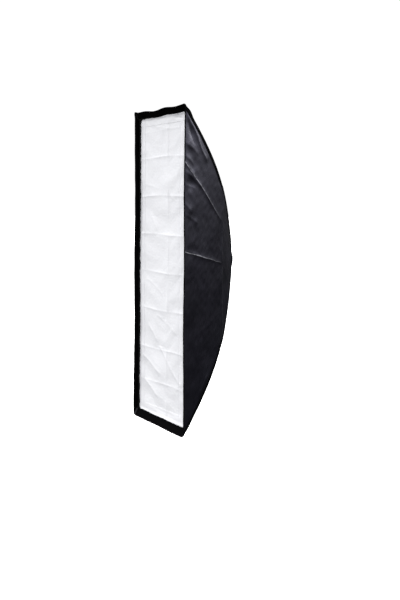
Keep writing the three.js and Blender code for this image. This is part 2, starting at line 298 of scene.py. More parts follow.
def make_world():
    """A white backdrop for the camera, and a soft sky for the object, bright above."""
    world = bpy.data.worlds.new("studio")
    scene.world = world
    world.use_nodes = True
    nodes = Nodes(world.node_tree)
    place = nodes.node("TexCoord").outputs["Generated"]
    split = nodes.node("SeparateXYZ", {"Vector": place}).outputs
    by_height = nodes.spread(split["Z"], *SKY_BY_HEIGHT, "SMOOTHSTEP")
    by_depth = nodes.spread(split["Y"], *SKY_BY_DEPTH, "SMOOTHSTEP")
    strengths = (nodes.math("MULTIPLY", by_height, by_depth), BACKDROP_STRENGTH)
    mixed = {0: nodes.node("LightPath").outputs["Is Camera Ray"]}
    for socket, strength in enumerate(strengths, 1):
        background = nodes.node("Background", {"Color": WHITE, "Strength": strength})
        mixed[socket] = background.outputs[0]
    surface = nodes.node("MixShader", mixed).outputs[0]
    nodes.join(surface, nodes.tree.nodes["World Output"].inputs["Surface"])


def make_floor():
    """A pale floor with a lamp of its own, so that it is evenly white up to the backdrop."""
    corners = [(-1, -1), (1, -1), (1, 1), (-1, 1)]
    points = [(x * FLOOR_REACH, y * FLOOR_REACH, FLOOR_Z) for x, y in corners]
    floor = add_mesh("floor", points, [(0, 1, 2, 3)])
    look = Look("pale_floor")
    look.set(Base_Color=(0.9, 0.9, 0.9, 1), Roughness=0.9)
    floor.data.materials.append(look.material)
    floor.visible_diffuse = False
    floor.visible_glossy = False
    light = lamp("SUN", "floor_lamp", (0, 0, -1), 4)
    light.data.angle = math.radians(1)
    light.data.use_shadow = False
    lit = bpy.data.collections.new("lit_by_floor_lamp")
    lit.objects.link(floor)
    light.light_linking.receiver_collection = lit


def make_light():
    scene.view_settings.view_transform = "Standard"
    make_world()
    lamp("SUN", "key", (0.75, 1, -0.85), 1.7).data.angle = math.radians(18)
    area_light("satin_glow", (2.6, 2, 2.4), (0.15, -0.3, 0.4), (0.9, 1.6), 18)
    area_light("edge_glow", (1.3, 2.6, 1.9), (0.15, -0.3, 0.45), (0.7, 1.2), 10)


# ---- materials


class Look(Nodes):
    """A node material under construction."""

    def __init__(self, name):
        self.material = bpy.data.materials.new(name)
        self.material.use_nodes = True
        super().__init__(self.material.node_tree)
        self.shader = self.tree.nodes["Principled BSDF"]
        self.place = self.node("TexCoord").outputs["Object"]

    def noise(self, scale, detail=3, roughness=0.5, stretch=(1, 1, 1)):
        place = self.node("Mapping", {"Scale": stretch, "Vector": self.place}).outputs[0]
        inputs = {"Vector": place, "Scale": scale, "Detail": detail, "Roughness": roughness}
        return self.node("TexNoise", inputs).outputs["Fac"]

    def bands(self, axis, pitch):
        """Sine bands across an axis, one every pitch metres."""
        inputs = {"Vector": self.place, "Scale": math.pi / 10 / pitch}
        made = self.node("TexWave", inputs, wave_type="BANDS", bands_direction=axis)
        return made.outputs["Fac"]

    def blend(self, share, first, second):
        """Mixes two colours by a share."""
        ends = [(*end, 1) if isinstance(end, tuple) else end for end in (first, second)]
        mixed = self.node("Mix", {0: share, 6: ends[0], 7: ends[1]}, data_type="RGBA")
        return mixed.outputs[2]

    def edge_wear(self, radius):
        """1 on outer edges and 0 elsewhere, broken up by noise."""
        pointed = self.node("NewGeometry").outputs["Pointiness"]
        wear_and_highlight_mask = self.spread(pointed, 0, 1, 0.52, 0.58)
        return self.math("MULTIPLY", wear_and_highlight_mask, self.spread(self.noise(1 / radius), 0, 1, 0.4, 0.6))

    def bump(self, height, distance, strength):
        """Adds a relief on top of those already there."""
        inputs = {"Strength": strength, "Distance": distance, "Height": height}
        normal = self.shader.inputs["Normal"]
        if normal.is_linked:
            inputs["Normal"] = normal.links[0].from_socket
        self.join(self.node("Bump", inputs).outputs["Normal"], normal)

    def colour(self, output):
        self.join(output, self.shader.inputs["Base Color"])

    def mottled(self, first, second, *noise):
        """A colour that noise mixes from two."""
        self.colour(self.blend(self.noise(*noise), first, second))

    def roughness(self, source, low, high, start=0, end=1):
        self.join(self.spread(source, low, high, start, end), self.shader.inputs["Roughness"])

    def set(self, **values):
        for key, value in values.items():
            self.shader.inputs[key.replace("_", " ")].default_value = value
        return self


def weave(look, axes, pitch):
    """The height of a plain weave: threads over and under along two axes."""
    warp, weft = (look.bands(axis, pitch) for axis in axes)
    over = look.math("MULTIPLY", warp, weft)
    under = [look.math("SUBTRACT", 1, yarn) for yarn in (warp, weft)]
    return look.math("ADD", over, look.math("MULTIPLY", *under))


def painted_crease_highlight(look, start, end, width):
    """The mask of a painted highlight along a side panel's crease line: 1 along the line, fading out to
    its sides and at its ends.
    """
    run = Vector(end) - Vector(start)
    inputs = {"Vector": look.place, "Location": (0, RIM_Y + start[0], start[1])}
    inputs["Rotation"] = (math.atan2(run[1], run[0]), 0, 0)
    local = look.node("Mapping", inputs, vector_type="TEXTURE").outputs[0]
    split = look.node("SeparateXYZ", {"Vector": local}).outputs
    wander = look.spread(look.noise(14, 2), -0.006, 0.006)
    off = look.math("ABSOLUTE", look.math("ADD", split["Z"], wander), 0)
    line = look.spread(off, 1, 0, 0, width)
    begin = look.spread(split["Y"], 0, 1, -0.01, 0.01)
    finish = look.spread(split["Y"], 1, 0, run.length * 0.4, run.length)
    # Noise breaks up the painted highlight along its length.
    wear_and_highlight_mask = look.spread(look.noise(45), 0.2, 1, 0.35, 0.6)
    inside = look.math("MULTIPLY", begin, finish)
    return look.math("MULTIPLY", look.math("MULTIPLY", line, wear_and_highlight_mask), inside)


def satin_nylon(name, axes, lines=()):
    """Black satin nylon: blue-grey sheen, soft wrinkles, fine weave, and a painted highlight of lighter
    lines along creases.
    """
    look = Look(name)
    mottle = look.spread(look.noise(6, 4, 0.6), 0, 1, 0.3, 0.7)
    colour = look.blend(mottle, (0.003, 0.003, 0.0045), (0.0065, 0.006, 0.0095))
    # The lighter lines along the folds are a painted highlight: they stand in for the light that the
    # crease lines catch.
    for start, end, highlight_strength in lines:
        highlight_colour = (0.42 * highlight_strength, 0.42 * highlight_strength, 0.46 * highlight_strength)
        colour = look.blend(painted_crease_highlight(look, start, end, 3.2 * MM), colour, highlight_colour)
    look.colour(colour)
    look.roughness(look.noise(10, 4, 0.6), 0.27, 0.43, 0.3, 0.7)
    look.bump(look.noise(22, 4, 0.55), 0.0025, 0.3)
    look.bump(weave(look, axes, 0.0009), 0.00012, 0.5)
    look.set(Specular_IOR_Level=0.8, Specular_Tint=(0.76, 0.75, 1, 1))
    look.set(Sheen_Weight=0.012, Sheen_Roughness=0.4, Sheen_Tint=(0.8, 0.82, 1, 1))
    return look.material


def silver_lining():
    """Silver coated inside of the shell: pebbled and bright."""
    look = Look("silver_lining")
    look.mottled((0.52, 0.53, 0.54), (0.7, 0.7, 0.71), 40)
    look.roughness(look.noise(12), 0.32, 0.5)
    look.bump(look.noise(260, 2), 0.0006, 0.6)
    look.bump(look.noise(20, 4), 0.003, 0.5)
    return look.set(Metallic=0.85).material


def woven_tape(name, colour=(0.002, 0.002, 0.0023), shine=0.03):
    """Black binding tape with diagonal ribs."""
    look = Look(name)
    look.mottled(colour, tuple(value * 1.9 for value in colour), 120)
    look.roughness(look.noise(30, 2), 0.75, 0.95)
    ribs = look.math("ADD", look.bands("DIAGONAL", 0.0014), look.bands("Z", 0.0022))
    look.bump(ribs, 0.0003, 0.6)
    return look.set(Specular_IOR_Level=shine, Sheen_Weight=0.004).material


def pile_tape():
    """Black hook and loop tape: a dense fuzzy pile."""
    look = Look("pile_tape")
    look.mottled((0.003, 0.003, 0.003), (0.012, 0.012, 0.013), 600, 2)
    look.roughness(look.noise(90, 2), 0.85, 1)
    look.bump(look.noise(900, 2), 0.0012, 0.9)
    return look.set(Specular_IOR_Level=0.06, Sheen_Weight=0.015, Sheen_Roughness=0.6).material


def thread(name, tone):
    """Twisted sewing thread."""
    look = Look(name)
    twist = look.bands("DIAGONAL", 0.0006)
    look.colour(look.blend(twist, tuple(value * 0.7 for value in tone), tone))
    look.roughness(look.noise(300), 0.45, 0.7)
    look.bump(twist, 0.0001, 0.6)
    return look.material


def white_nylon(name):
    """White diffuser nylon with a faint blue cast."""
    look = Look(name)
    look.mottled((0.82, 0.825, 0.86), (0.865, 0.87, 0.9), 7, 4, 0.6)
    look.roughness(look.noise(14), 0.6, 0.8)
    look.bump(look.noise(45, 4, 0.6), 0.0012, 0.3)
    look.bump(weave(look, ("X", "Z"), 0.0008), 0.0001, 0.4)
    return look.set(Specular_IOR_Level=0.2, Sheen_Weight=0.02).material


def elastic_webbing():
    """Black ribbed elastic with lighter edges of worn rubber thread."""
    look = Look("elastic_webbing")
    look.colour(look.blend(look.bands("X", 0.0016), (0.006, 0.006, 0.0065), (0.03, 0.03, 0.032)))
    look.roughness(look.noise(50), 0.75, 0.95)
    look.bump(look.bands("Z", 0.0012), 0.0004, 0.8)
    return look.set(Specular_IOR_Level=0.25).material


def glass_fibre():
    """Black pultruded rod: long fine streaks under a satin skin."""
    look = Look("glass_fibre")
    streaks = look.noise(300, 3, 0.6, (1, 0.08, 0.08))
    look.colour(look.blend(streaks, (0.012, 0.012, 0.013), (0.05, 0.05, 0.052)))
    look.roughness(look.noise(40), 0.25, 0.45)
    look.bump(streaks, 0.0001, 0.4)
    return look.material


def moulded_plastic():
    """Black moulded plastic with a fine spark-eroded grain and edges rubbed shiny."""
    look = Look("moulded_plastic")
    body = look.blend(look.noise(60), (0.018, 0.018, 0.019), (0.0288, 0.0288, 0.0304))
    look.colour(look.blend(look.edge_wear(0.004), body, (0.072, 0.072, 0.076)))
    look.roughness(look.noise(35), 0.38, 0.58)
    look.bump(look.noise(1400, 2), 0.0002, 0.5)
    return look.material


def cast_aluminium():
    """Cast ring: tumbled grey metal with casting grain, machined bright on worn edges."""
    look = Look("cast_aluminium")
    body = look.blend(look.noise(70, 4, 0.6), (0.34, 0.345, 0.355), (0.5, 0.505, 0.51))
    look.colour(look.blend(look.edge_wear(0.006), body, (0.75, 0.75, 0.76)))
    look.roughness(look.noise(45), 0.34, 0.55)
    look.bump(look.noise(700), 0.0004, 0.4)
    return look.set(Metallic=1).material


def plated_steel(name, tone, low, high):
    """Plated steel with fine handling scratches, and a roughness from low to high."""
    look = Look(name)
    scratches = look.noise(900, 3, 0.7, (1, 1, 0.05))
    bright = (tone * 1.08, tone * 1.08, tone * 1.06)
    look.mottled((tone * 0.8, tone * 0.81, tone * 0.83), bright, 55, 4)
    look.roughness(scratches, low, high, 0.3, 0.7)
    look.bump(scratches, 0.00005, 0.4)
    return look.set(Metallic=1).material


# ---- the shell's outline


def smooth_curve(stations, values):
    """A smooth function through values at rising stations."""
    slopes = np.gradient(values, stations)

    def at(place):
        place = np.clip(place, stations[0], stations[-1])
        index = np.clip(np.searchsorted(stations, place) - 1, 0, len(stations) - 2)
        span = stations[index + 1] - stations[index]
        t = (place - stations[index]) / span
        start = (1 - t) ** 2 * ((1 + 2 * t) * values[index] + t * span * slopes[index])
        end = t**2 * ((3 - 2 * t) * values[index + 1] - (1 - t) * span * slopes[index + 1])
        return start + end

    return at


def ridge_outline(name, axis):
    """How far the ridge reaches along an axis, as a function of the depth behind the rim."""
    points = vertices_of(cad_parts[name].data)
    depths = np.round(points[:, 1] - RIM_Y, 5)
    stations = np.unique(depths)
    reach = np.array([points[depths == depth, axis].max() for depth in stations])
    keep = np.append(True, np.diff(stations) > 2 * MM)
    stations, reach = stations[keep], reach[keep]
    outline = smooth_curve(np.append(0, stations), np.append(rim_high[axis], reach))
    return outline, stations[-1]


half_width, SHELL_DEPTH = ridge_outline("shell_right", 0)
half_height, _ = ridge_outline("shell_top", 2)

# The shell's corners are as round as the rods along the ridges, and rounder at the rim.
RIDGE_RADIUS = 4 * MM
TOP_RIM_RADIUS = 9 * MM
BOTTOM_RIM_RADIUS = 17 * MM
RIM_FADE = 0.07
EAR = 7 * MM
EAR_REACH = 14 * MM
CAP_BULGE = 4.5 * MM
CAP_DEPTH = 36 * MM
CAP_REACH = 18 * MM
SAG = 9 * MM
DROOP = 7 * MM


def rim_fade(depth):
    """1 at the rim, falling to 0 where the slack of the rim ends."""
    return np.clip(1 - depth / RIM_FADE, 0, 1) ** 2


# How high and how long the waves of the stretched cloth are, and where the rim's pull puckers it.
SOFT_WAVES = (0.8 * MM, 0.16)
FINE_WAVES = (0.3 * MM, 0.05)
PULL_DEPTH = 50 * MM
PULL_REACH = 35 * MM


@dataclass
class Panel:
    """One fabric panel of the shell. depth is measured back from the front rim, and share runs
    from -1 to 1 across the panel, from ridge to ridge."""

    name: str
    seed: int
    bow: float
    ripple: float
    hollow: float
    pucker: float
    folds: list

    def __post_init__(self):
        self.side = self.name in ("right", "left")
        self.sign = 1 if self.name in ("right", "top") else -1

    def lengths(self, depth):
        """Half the panel's breadth, and how far it stands from the middle."""
        width, height = half_width(depth), half_height(depth)
        return (height, width) if self.side else (width, height)

    def share_of(self, reach, depth):
        """The share that a reach square to the ridge takes up."""
        long, _ = self.lengths(depth)
        slope = (self.lengths(depth + 1 * MM)[0] - self.lengths(depth - 1 * MM)[0]) / (2 * MM)
        return reach * np.hypot(1, slope) / long

    def rim_bow(self, depth, share):
        """How far the slack rim bows inwards between the corners. The lower edge droops instead
        towards its right corner."""
        bow = (1 - share**2) * self.bow * (1 - np.cos(share * 7 - self.ripple))
        droop = DROOP * smoothstep(-1, 1, share) if self.name == "bottom" else 0
        return rim_fade(depth) * (bow - droop)

    def base(self, depth, share):
        """Where the fabric lies when it is stretched smooth."""
        long, short = self.lengths(depth)
        ends = np.sign(share)
        x_sign, z_sign = (self.sign, ends) if self.side else (ends, self.sign)
        upper = z_sign > 0
        sag = SAG * np.sin(depth / SHELL_DEPTH * math.pi) * (z_sign < 0)
        if self.side:
            droop = DROOP * rim_fade(depth) * (z_sign < 0) if self.sign > 0 else 0
            long = long + sag + droop
        else:
            short = short + sag
        rim_radius = np.where(upper, TOP_RIM_RADIUS, BOTTOM_RIM_RADIUS)
        radius = RIDGE_RADIUS + (rim_radius - RIDGE_RADIUS) * rim_fade(depth)
        straight = long - radius
        reach = np.abs(share) * (straight + radius * math.pi / 4)
        angle = np.clip((reach - straight) / radius, 0, math.pi / 4)
        from_corner = (1 - np.abs(share)) * long
        ear = np.where(x_sign < 0, EAR, 0.2 * EAR) * upper
        ear = ear * np.exp(-((from_corner / EAR_REACH) ** 2) - depth / EAR_REACH)
        bulge = ((depth - CAP_DEPTH) / CAP_REACH) ** 2 + (from_corner / CAP_REACH) ** 2
        ear = ear + np.where(upper, CAP_BULGE, 0.3 * CAP_BULGE) * np.exp(-bulge)
        along = ends * (np.minimum(reach, straight) + radius * np.sin(angle) + ear)
        out = short - radius * (1 - np.cos(angle)) - self.rim_bow(depth, share) + ear
        out = self.sign * out
        x, z = (out, along) if self.side else (along, out)
        x, y, z = np.broadcast_arrays(x, RIM_Y + depth, z)
        return np.stack([x, y, z], axis=-1)

    def normal(self, depth, share):
        """The direction out of the shell."""
        step, share_step = 0.5 * MM, 0.0006
        back = self.base(depth + step, share) - self.base(depth - step, share)
        across = self.base(depth, share + share_step) - self.base(depth, share - share_step)
        return unit(np.cross(back, across)) * (self.sign if self.side else -self.sign)

    def relief(self, depth, share):
        """How far the real fabric stands out from the smooth one."""
        long, _ = self.lengths(depth)
        across = share * long
        sewn = smoothstep(0, 0.02, SHELL_DEPTH - depth)
        held = (1 - share**8) * smoothstep(0, 0.04, depth) * sewn
        folded = (1 - share**40) * smoothstep(-0.006, 0.014, depth) * sewn
        hollow = -self.hollow * (1 - share**2) * np.sin(depth / SHELL_DEPTH * math.pi)
        soft = SOFT_WAVES[0] * waves(depth, across, self.seed, SOFT_WAVES[1])
        fine = FINE_WAVES[0] * waves(depth, across, self.seed + 1, FINE_WAVES[1])
        pull = np.exp(-(((depth - PULL_DEPTH) / PULL_REACH) ** 2)) * smoothstep(-0.2, 0.5, share)
        pucker = self.pucker * pull * waves(depth * 0.6, across, self.seed + 2, 0.13)
        stand = held * (hollow + soft + fine + pucker)
        return stand + folded * creases(depth, across, self.folds)

    def place(self, depth, share, lift=0):
        """The fabric's outer surface, or a place lifted off it along its normal."""
        depth, share = np.broadcast_arrays(depth, share)
        stand = self.relief(depth, share) + lift
        return self.base(depth, share) + self.normal(depth, share) * stand[..., None]


# Each panel's folds: depth and place across of both ends in metres, height and width in
# millimetres. A side panel's first three are where it was folded in its bag.
CROSS_FOLD = 0.324
BEND = ((CROSS_FOLD, -0.44), (CROSS_FOLD, 0.44), 5, 30)
PANELS = {
    "right": Panel("right", 11, 2.5 * MM, 0.4, 7 * MM, 3 * MM, [
        BEND,
        ((0, 0.528), (0.31, 0.223), 2.8, 8),
        ((0, 0.091), (0.324, 0.003), 2.6, 8),
        ((-0.02, 0.815), (0.17, 0.525), 5, 16),
        ((0.01, 0.73), (0.08, 0.6), -3, 16),
        ((0, 0.618), (0.11, 0.56), 2.6, 12),
        ((0, 0.56), (0.075, 0.505), 2.6, 9),
        ((0, 0.48), (0.14, 0.4), 3.2, 14),
        ((0, 0.415), (0.09, 0.39), 2.2, 9),
        ((0, 0.33), (0.06, 0.27), 2.2, 9),
        ((0, 0.275), (0.11, 0.215), 1.8, 10),
        ((0.02, -0.36), (0.3, -0.25), 1, 12),
        ((0.11, -0.64), (0.185, -0.53), 3, 8),
    ]),
    "left": Panel("left", 23, 3.2 * MM, 0, 7 * MM, 3 * MM, [
        BEND,
        ((0, 0.46), (0.31, 0.25), 2.6, 8),
        ((0, -0.06), (0.324, 0.02), 2.6, 8),
        ((0, 0.81), (0.16, 0.57), 8, 13),
        ((0, 0.64), (0.1, 0.58), 3, 10),
        ((0, 0.37), (0.11, 0.33), 3, 10),
        ((0.02, -0.5), (0.28, -0.3), 1.8, 12),
    ]),
    "top": Panel("top", 37, 4.5 * MM, 1.75, 5 * MM, 0.8 * MM, [
        ((0.06, -0.17), (0.16, 0.15), 2, 9),
        ((0.23, 0.15), (0.28, -0.15), 2, 9),
        ((0.38, -0.11), (0.4, 0.11), 1.6, 9),
    ]),
    "bottom": Panel("bottom", 41, 1 * MM, 3.4, 5 * MM, 0.8 * MM, [
        ((0.07, 0.16), (0.12, -0.17), 2, 9),
        ((0.22, -0.16), (0.3, 0.15), 2, 9),
        ((0.39, 0.11), (0.4, -0.11), 1.6, 9),
    ]),
}
# How bright the painted highlight is along the first folds of a side panel's list.
FOLD_HIGHLIGHT = (0.1, 1, 1)

SHELL_THICKNESS = 0.8 * MM
FABRIC_INSET = 1.5 * MM
LIP_DEPTH = 0.036
DEPTH_STEPS = 130
MIDDLE_STEPS = {True: 240, False: 84}
EDGE_SHARE = {True: 0.025, False: 0.07}
EDGE_STEPS = 7


def share_stops(side):
    """Places across a panel, closer together where it turns over the rods."""
    inner = 1 - EDGE_SHARE[side]
    middle = np.linspace(-inner, inner, MIDDLE_STEPS[side])
    edge = np.linspace(inner, 1, EDGE_STEPS)[1:]
    return np.concatenate([-edge[::-1], middle, edge])


def strip(name, panel, depths, shares, lift=0):
    """A piece of cloth that follows a panel between rows of depths and columns of shares."""
    flip = (panel.sign > 0) == panel.side
    return grid_piece(name, panel.place(depths, shares, lift), flip)


def make_panel(panel, outside, lining, lip):
    depths = np.linspace(FABRIC_INSET, SHELL_DEPTH, DEPTH_STEPS)[:, None]
    shares = share_stops(panel.side)[None, :]
    piece = strip("fabric_" + panel.name, panel, depths, shares)
    materials = (outside, lining, outside, lip)
    node = "shell_" + panel.name
    dress(piece, "shell_fabric", *materials, node=node, thick=SHELL_THICKNESS, inner_slot=1)
    lip_rows = int(np.sum(depths < LIP_DEPTH))
    for face in piece.data.polygons[: lip_rows * (shares.size - 1)]:
        face.material_index = 2
    long, short = panel.lengths(depths[:, 0])


def make_shell(lining):
    lip = woven_tape("lip_lining", (0.0014, 0.0014, 0.0016), 0.02)
    for name, panel in PANELS.items():
        # Side panels get a painted highlight along their first folds.
        highlight_strengths = FOLD_HIGHLIGHT if panel.side else ()
        lines = [(start, end, highlight_strength) for (start, end, *_), highlight_strength in zip(panel.folds, highlight_strengths)]
        axes = ("Y", "Z") if panel.side else ("X", "Y")
        make_panel(panel, satin_nylon("satin_nylon_" + name, axes, lines), lining, lip)


# ---- seams and bindings

SEAM_REACH = 18 * MM
SEAM_LIFT = 0.9 * MM
SEAM_ROWS = 150
BINDING_DEPTH = 4.2 * MM
FRONT_ROLL = (1.9 * MM, 4.4 * MM)
REAR_ROLL = (1.5 * MM, 2.6 * MM)


def panels_at(corner):
    """The two panels that meet in a corner's ridge, each with the sign of its share there."""
    x_sign, z_sign = CORNERS[corner]
    side = PANELS["right" if x_sign > 0 else "left"]
    cap = PANELS["top" if z_sign > 0 else "bottom"]
    return (side, z_sign), (cap, x_sign)


def over_ridge(corner, depths, reach, lift):
    """Points that run over a ridge, from the side panel to the top or bottom one."""
    halves = []
    for panel, sign in panels_at(corner):
        share = sign * (1 - np.linspace(1, 0, 7)[None, :] * panel.share_of(reach, depths))
        halves.append(panel.place(depths, share, lift))
    side, cap = halves
    return np.concatenate([side[:, :-1], (side[:, -1:] + cap[:, -1:]) / 2, cap[:, -2::-1]], axis=1)


def make_seam(corner, tape, black_thread):
    """The binding sewn over a ridge, with a row of stitches on each side of it."""
    x_sign, z_sign = CORNERS[corner]
    depths = np.linspace(6 * MM, SHELL_DEPTH, SEAM_ROWS)[:, None]
    points = over_ridge(corner, depths, SEAM_REACH, SEAM_LIFT)
    seam = grid_piece("seam_" + corner, points, flip=x_sign * z_sign < 0)
    dress(seam, "hem_tape", tape, thick=SEAM_LIFT)
    rows = []
    for panel, sign in panels_at(corner):
        share = sign * (1 - panel.share_of(SEAM_REACH - 2 * MM, depths[:, 0]))
        path = panel.place(depths[:, 0], share, SEAM_LIFT + 0.1 * MM)
        rows.append((path, panel.normal(depths[:, 0], share)))
    stitches("seam_stitches_" + corner, rows, "hem_tape", black_thread)


def around(depth, lift=0):
    """A closed line round the shell at one depth, with its outward normals."""
    path, normals = [], []
    for name, direction in (("right", 1), ("top", -1), ("left", -1), ("bottom", 1)):
        panel = PANELS[name]
        shares = share_stops(panel.side)[::direction][:-1]
        path.append(panel.place(depth, shares, lift))
        normals.append(panel.normal(depth, shares))
    return np.concatenate(path), np.concatenate(normals)


def make_bindings(tape, black_thread):
    """The rolled hem round the front rim, and the binding of the shell's rear edge."""
    path, normals = around(BINDING_DEPTH)
    path[:, 1] += 0.5 * MM * np.sin(np.arange(len(path)) * 0.31)
    hem = rolled("front_binding", path, normals, *FRONT_ROLL)
    dress(hem, "hem_tape", tape, node="front_hem")
    stitches("binding_stitches", [around(7 * MM, 1.6 * MM)], "hem_tape", black_thread)
    path, normals = around(SHELL_DEPTH - FABRIC_INSET)
    rear = rolled("rear_binding", path, normals, *REAR_ROLL)
    dress(rear, "hem_tape", tape)


# ---- inside the shell

LOOP_DEPTHS = (0.0345, 0.0535)
LOOP_LIFT = -(SHELL_THICKNESS + 0.3 * MM)


def make_loop_tapes(pile):
    """The loop tape that the diffuser sticks to, and a flat seam up each inner corner."""
    for name, panel in PANELS.items():
        depths = np.linspace(*LOOP_DEPTHS, 8)[:, None]
        end = 0.985 if panel.side else 0.94
        shares = np.linspace(-end, end, MIDDLE_STEPS[panel.side])[None, :]
        piece = strip("loop_pile_" + name, panel, depths, shares, LOOP_LIFT)
        dress(piece, "hook_tape", pile, node="loop_tape_" + name, thick=1.1 * MM)
    tape = woven_tape("lip_seam_tape", (0.016, 0.016, 0.018), 0.3)
    for corner, (x_sign, z_sign) in CORNERS.items():
        depths = np.linspace(4 * MM, LOOP_DEPTHS[0], 14)[:, None]
        points = over_ridge(corner, depths, 5 * MM, LOOP_LIFT)
        piece = grid_piece("lip_seam_" + corner, points, flip=x_sign * z_sign > 0)
        dress(piece, "hem_tape", tape, thick=0.7 * MM)


def axis_of(name):
    """A round CAD node's front end, its direction backwards, its length and its radius."""
    points = vertices_of(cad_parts[name].data)
    centre = points.mean(axis=0)
    spread, directions = np.linalg.eigh(np.cov((points - centre).T))
    back = directions[:, np.argmax(spread)]
    back = back * np.sign(back[1])
    along = (points - centre) @ back
    radius = np.linalg.norm(points - centre - along[:, None] * back, axis=1).max()
    return centre + back * along.min(), back, np.ptp(along), radius


def make_pocket(corner, tape, pattern):
    """The sewn sleeve that holds a rod's front end: creased cloth, flattened towards its tip."""
    front, back, length, radius = axis_of("rod_pocket_" + corner)
    side = unit(np.cross(back, BACKWARDS))
    up = np.cross(side, back)
    along = np.linspace(0, 1, 26)[:, None]
    angle = turn(36)
    swell = radius * (0.62 + 0.38 * smoothstep(0, 0.25, along))
    ruck = 1 + 0.06 * np.sin(along * 34 + 2 * np.sin(angle + pattern)) * (1 - along)
    flat = 0.35 + 0.65 * smoothstep(0, 0.3, along)
    wide = swell * ruck * np.cos(angle)
    high = swell * ruck * np.sin(angle) * flat
    points = spanned(front, (back, along * length), (side, wide), (up, high))
    piece = grid_piece("sleeve_" + corner, points, wrap_columns=True)
    dress(piece, "hem_tape", tape, node="rod_pocket_" + corner, thick=0.8 * MM)


STRAP_HALF = 6.5 * MM
STRAP_STITCHES = (0.08, 0.16, 0.84, 0.92)


def make_strap(corner, elastic, black_thread):
    """An elastic strap from the baffle's corner to the rod, sewn at both ends."""
    low, high = (np.array(place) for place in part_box("baffle_strap_" + corner))
    x_sign, z_sign = CORNERS[corner]
    half = ((high - low) / 2 - [STRAP_HALF, 0, 0]) * [x_sign, 0, z_sign]
    near, run = (low + high) / 2 - half, 2 * half
    along = np.linspace(0, 1, 40)[:, None]
    across = np.linspace(-1, 1, 9)[None, :]
    side = unit(np.cross(run, BACKWARDS))
    taut = STRAP_HALF * (1 - 0.1 * np.sin(along * math.pi))
    wave = 0.4 * MM * np.sin(along * 50)
    twist = 0.25 * np.sin(along * math.pi)
    turned = (side, across * taut * np.cos(twist)), (BACKWARDS, wave + across * taut * np.sin(twist))
    piece = grid_piece("elastic_" + corner, spanned(near, (run, along), *turned))
    dress(piece, "elastic", elastic, node="baffle_strap_" + corner, thick=1 * MM, offset=0)
    ends = np.array([[-5 * MM], [5 * MM]]) * side
    rows = [front_row(near + run * share + ends, 0.7 * MM) for share in STRAP_STITCHES]
    stitches("elastic_stitches_" + corner, rows, "elastic", black_thread)


# ---- rear skirt

RING_RADIUS = 71.7 * MM
SKIRT_RINGS = 12
SKIRT_BACK = -5.2 * MM
SKIRT_THICKNESS = 0.6 * MM
FRILL_RINGS = 5
FRILL_WIDTH = 13 * MM
FRILL_HANG = 9 * MM
GATHERS = 46
CUFF_STEPS = 368
CUFF_ROLL = (1.2 * MM, 2.6 * MM)


def spokes(angles):
    """Directions square to the ring's axis."""
    return np.stack([np.cos(angles), np.zeros(len(angles)), np.sin(angles)], axis=1)


def make_skirt(satin, tape):
    """Gathered cloth that closes the shell round the speed ring."""
    outer, _ = around(SHELL_DEPTH - 2 * MM, -SHELL_THICKNESS - 0.2 * MM)
    angle = np.unwrap(np.arctan2(outer[:, 2], outer[:, 0]))
    inner = spokes(angle) * RING_RADIUS + BACKWARDS * SKIRT_BACK
    share = np.linspace(0, 1, SKIRT_RINGS)[:, None, None]
    points = outer[None] * (1 - share) + inner[None] * share
    room = np.linalg.norm(outer - inner, axis=1)
    depth = np.minimum(1.6 * MM, 0.12 * room)
    ruffle = np.sin(angle * GATHERS) * depth
    points[..., 1] += ruffle * np.sin(share[..., 0] * math.pi * 0.9 + 0.3) - 0.9 * depth
    piece = grid_piece("ring_skirt", points, wrap_columns=True)
    dress(piece, "shell_fabric", satin, node="rear_yoke", thick=SKIRT_THICKNESS)
    sewn_on = make_cuff(satin, tape)


def make_cuff(satin, tape):
    """The elastic that draws the skirt in round the ring, and the frill behind it."""
    angles = turn(CUFF_STEPS)
    out = spokes(angles)
    ripple = 0.25 * MM * np.sin(angles * GATHERS)
    path = out * (RING_RADIUS + 0.9 * MM + ripple)[:, None] + BACKWARDS * SKIRT_BACK
    cuff = rolled("elastic_cuff", path, out, *CUFF_ROLL)
    dress(cuff, "hem_tape", tape)
    spread = np.linspace(0, 1, FRILL_RINGS)[:, None]
    hang = FRILL_HANG * np.maximum(0, -np.sin(angles))
    reach = RING_RADIUS + 1 * MM + spread * (FRILL_WIDTH + hang + 1.2 * MM * np.sin(angles * 5))
    stand = spread * (4 * MM + 1.8 * MM * np.sin(angles * GATHERS + spread))
    points = spanned(BACKWARDS * SKIRT_BACK, (out, reach), (BACKWARDS, stand))
    frill = grid_piece("skirt_frill", points, wrap_columns=True)
    dress(frill, "shell_fabric", satin, thick=SKIRT_THICKNESS)
    return [cuff, frill]


# ---- diffuser and baffle

SETTLE_FRAMES = 24
STIFFNESS = {"tension": 30, "compression": 30, "shear": 10, "bending": 0.4}


def settled(points, slack, limit):
    """Lets a sheet a little bigger than its frame hang between its sewn edges, by simulation."""
    sheet = grid_piece("settling_sheet", points)
    edge = np.ones(points.shape[:2], bool)
    edge[1:-1, 1:-1] = False
    sewn = sheet.vertex_groups.new(name="sewn")
    sewn.add(np.flatnonzero(edge).tolist(), 1, "REPLACE")
    cloth = sheet.modifiers.new("cloth", "CLOTH")
    for kind, value in STIFFNESS.items():
        setattr(cloth.settings, kind + "_stiffness", value)
    cloth.settings.quality = 5
    cloth.settings.mass = 0.03
    cloth.settings.effector_weights.gravity = 0.04
    cloth.settings.vertex_group_mass = "sewn"
    cloth.settings.shrink_min = -slack
    cloth.point_cache.frame_end = SETTLE_FRAMES
    for number in range(1, SETTLE_FRAMES + 1):
        scene.frame_set(number)
    shape = sheet.evaluated_get(bpy.context.evaluated_depsgraph_get()).data
    moved = vertices_of(shape).reshape(points.shape) - points
    bpy.data.objects.remove(sheet)
    scene.frame_set(1)
    size = np.linalg.norm(moved, axis=-1, keepdims=True)
    return points + moved * np.minimum(1, limit / np.maximum(size, 1e-9))


